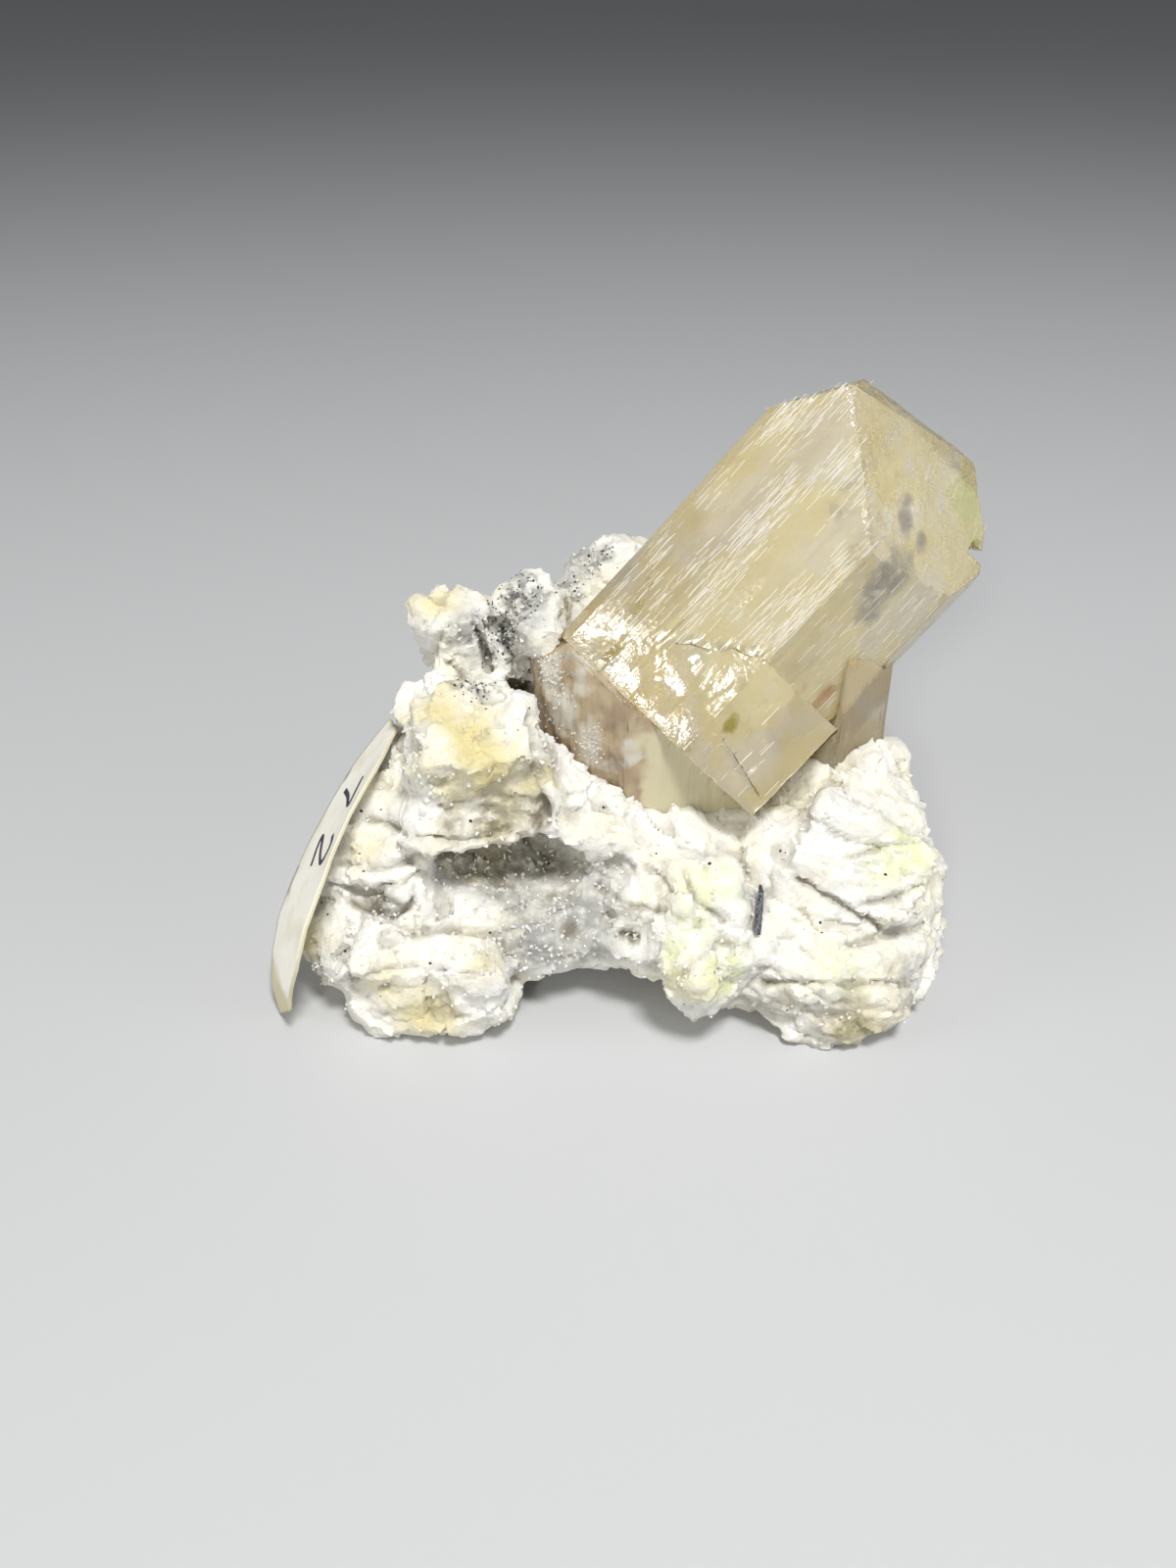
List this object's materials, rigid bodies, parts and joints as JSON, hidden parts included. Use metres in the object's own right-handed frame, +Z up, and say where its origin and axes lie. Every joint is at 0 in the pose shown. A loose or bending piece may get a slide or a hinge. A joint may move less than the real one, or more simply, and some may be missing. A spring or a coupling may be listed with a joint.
{
  "type": "topaz crystal specimen",
  "caption": "Honey-coloured topaz crystals on a lump of white feldspar rock, resting on its own feet, with a small paper collection label on its side.",
  "frame": {"origin": "centre of the footprint of the bounding box, at the surface that the three feet rest on", "axes": "+X to the right in the picture, along the width and towards the top of the leaning crystal; +Y away from the viewer; +Z up"},
  "size_m": [0.056, 0.0384, 0.0424],
  "materials": {
    "feldspar": "rough, sugary white with ochre and pale green stains",
    "topaz_honey": "clear to cloudy honey, striated along its length",
    "topaz_brown": "cloudy brown, rough left face",
    "topaz_pink": "pinkish brown with a shell-like fracture",
    "label_paper": "matt, slightly yellowed, lifted at one edge",
    "dark_mineral": "dark, slightly shiny"
  },
  "bodies": {
    "root": {"matrix": "feldspar", "topaz_main": "topaz_honey", "topaz_left": "topaz_brown", "topaz_right": "topaz_pink", "paper_label": "label_paper", "dark_blade": "dark_mineral"}
  },
  "joints": []
}
